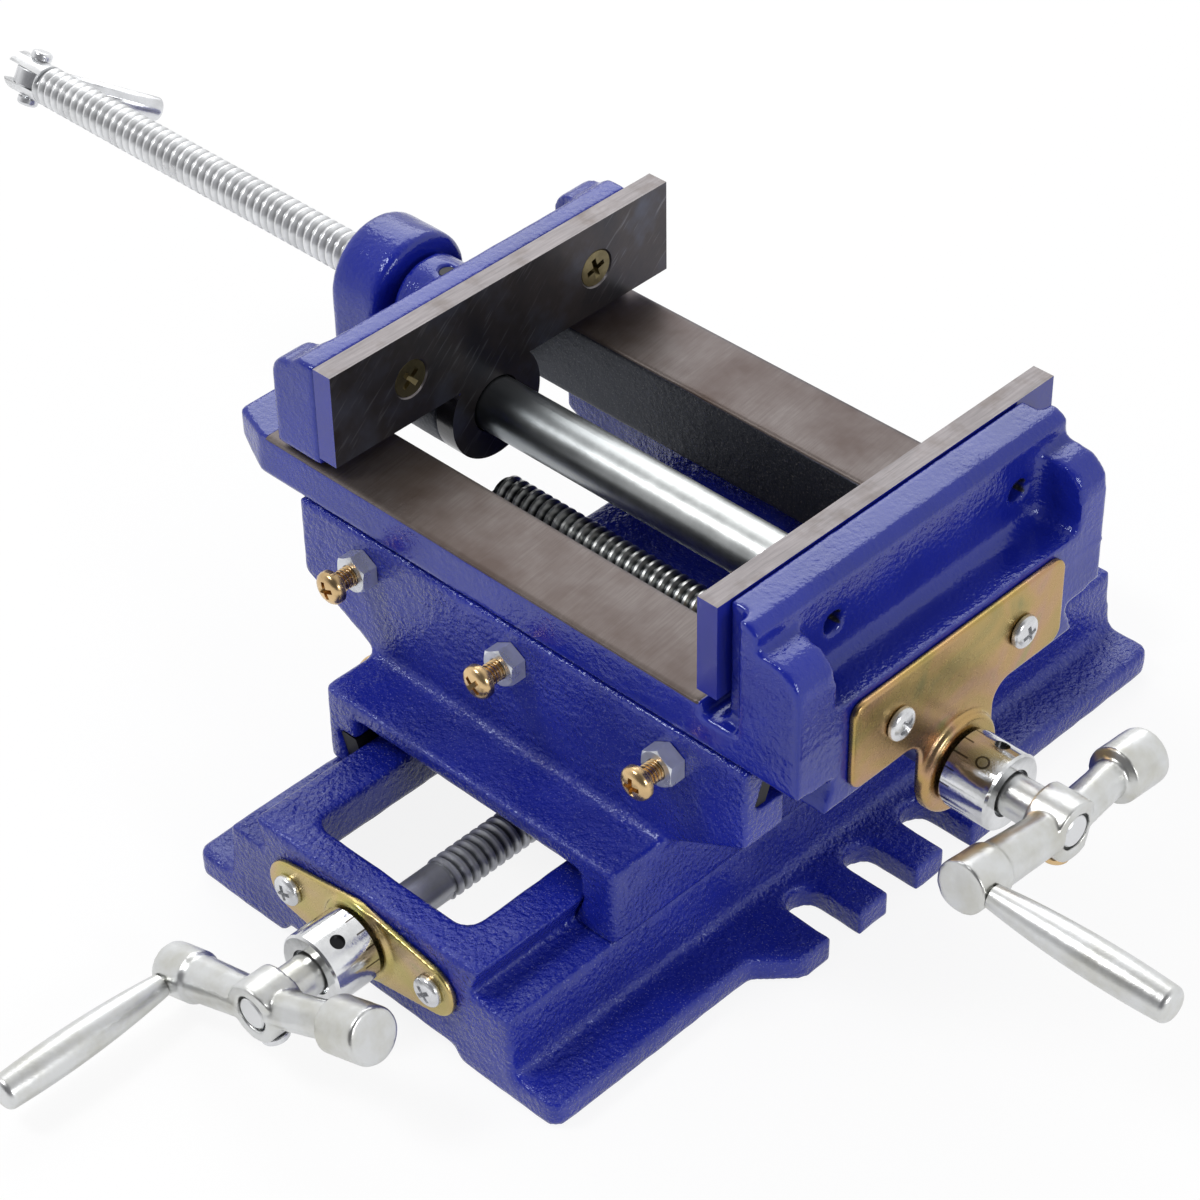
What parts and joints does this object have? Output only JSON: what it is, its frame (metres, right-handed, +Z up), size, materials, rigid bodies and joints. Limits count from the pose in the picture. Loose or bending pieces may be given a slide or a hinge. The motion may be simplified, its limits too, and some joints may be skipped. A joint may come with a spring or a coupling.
{
  "type": "cross slide vise",
  "caption": "Machine vise on a two-axis dovetailed cross slide with crank-driven leadscrews, dial collars and a screw-driven movable jaw.",
  "frame": {"origin": "centre of the base casting's underside, on the table that it is bolted to", "axes": "+X along the vise screw towards the fixed jaw, +Y along the lower slide away from the lower crank, +Z up"},
  "size_m": [0.4568, 0.3359, 0.1388],
  "materials": {
    "enamel": "gloss",
    "steel": "satin",
    "bright_zinc": "gloss",
    "dark_steel": "satin",
    "yellow_zinc": "satin",
    "bronze": "satin"
  },
  "bodies": {
    "base": {"base_casting": "enamel", "lower_bearing_plate": "yellow_zinc", "lower_plate_screws": "yellow_zinc"},
    "lower_screw": {"lower_leadscrew": "steel", "lower_dial_collar": "bright_zinc", "lower_collar_set_screw": "dark_steel", "lower_crank": "bright_zinc", "lower_crank_screw": "dark_steel", "lower_crank_handle": "bright_zinc"},
    "saddle": {"saddle_casting": "enamel", "lower_gib": "dark_steel", "upper_gib": "dark_steel", "lower_gib_screws": "yellow_zinc", "upper_gib_screws": "yellow_zinc", "lower_gib_lock_nuts": "bright_zinc", "upper_gib_lock_nuts": "bright_zinc", "lower_leadscrew_nut": "bronze", "upper_leadscrew_nut": "bronze", "lower_nut_screws": "dark_steel", "upper_nut_screws": "dark_steel"},
    "vise_body": {"vise_body": "enamel", "upper_bearing_plate": "yellow_zinc", "upper_plate_screws": "bright_zinc", "guide_rod": "steel", "guide_rod_set_screw": "dark_steel", "fixed_jaw_plate": "dark_steel", "fixed_jaw_screws": "yellow_zinc"},
    "upper_screw": {"upper_leadscrew": "steel", "upper_dial_collar": "bright_zinc", "upper_collar_set_screw": "dark_steel", "upper_crank": "bright_zinc", "upper_crank_screw": "dark_steel", "upper_crank_handle": "bright_zinc"},
    "movable_jaw": {"movable_jaw": "enamel", "movable_jaw_plate": "dark_steel", "movable_jaw_screws": "yellow_zinc", "screw_retainer": "dark_steel"},
    "vise_screw": {"vise_screw": "bright_zinc", "handle_pivot": "bright_zinc"},
    "lever": {"folding_handle": "bright_zinc"}
  },
  "joints": [
    {"name": "lower_screw_turn", "type": "hinge", "parent": "base", "child": "lower_screw", "pos_m": [0, 0, 0.0228], "axis": [0, 1, 0], "range_deg": [-6121, 4321]},
    {"name": "saddle_slide", "type": "slide", "parent": "base", "child": "saddle", "axis": [0, 1, 0], "range_m": [-0.036, 0.051]},
    {"name": "body_slide", "type": "slide", "parent": "saddle", "child": "vise_body", "axis": [1, 0, 0], "range_m": [-0.042, 0.045]},
    {"name": "upper_screw_turn", "type": "hinge", "parent": "vise_body", "child": "upper_screw", "pos_m": [0, -0.0073, 0.0684], "axis": [1, 0, 0], "range_deg": [-5041, 5401]},
    {"name": "jaw_slide", "type": "slide", "parent": "vise_body", "child": "movable_jaw", "axis": [1, 0, 0], "range_m": [0, 0.127]},
    {"name": "vise_screw_turn", "type": "hinge", "parent": "movable_jaw", "child": "vise_screw", "pos_m": [-0.1, -0.0073, 0.1213], "axis": [1, 0, 0], "range_deg": [-1, 15241]},
    {"name": "handle_fold", "type": "hinge", "parent": "vise_screw", "child": "lever", "pos_m": [-0.258, -0.0073, 0.1213], "axis": [0, 0.515, 0.8572], "range_deg": [0, 220]}
  ],
  "couplings": [
    {"joint": "lower_screw_turn", "follows": "saddle_slide", "rad_per_m": -2094.4},
    {"joint": "upper_screw_turn", "follows": "body_slide", "rad_per_m": 2094.4},
    {"joint": "vise_screw_turn", "follows": "jaw_slide", "rad_per_m": 2094.4}
  ]
}
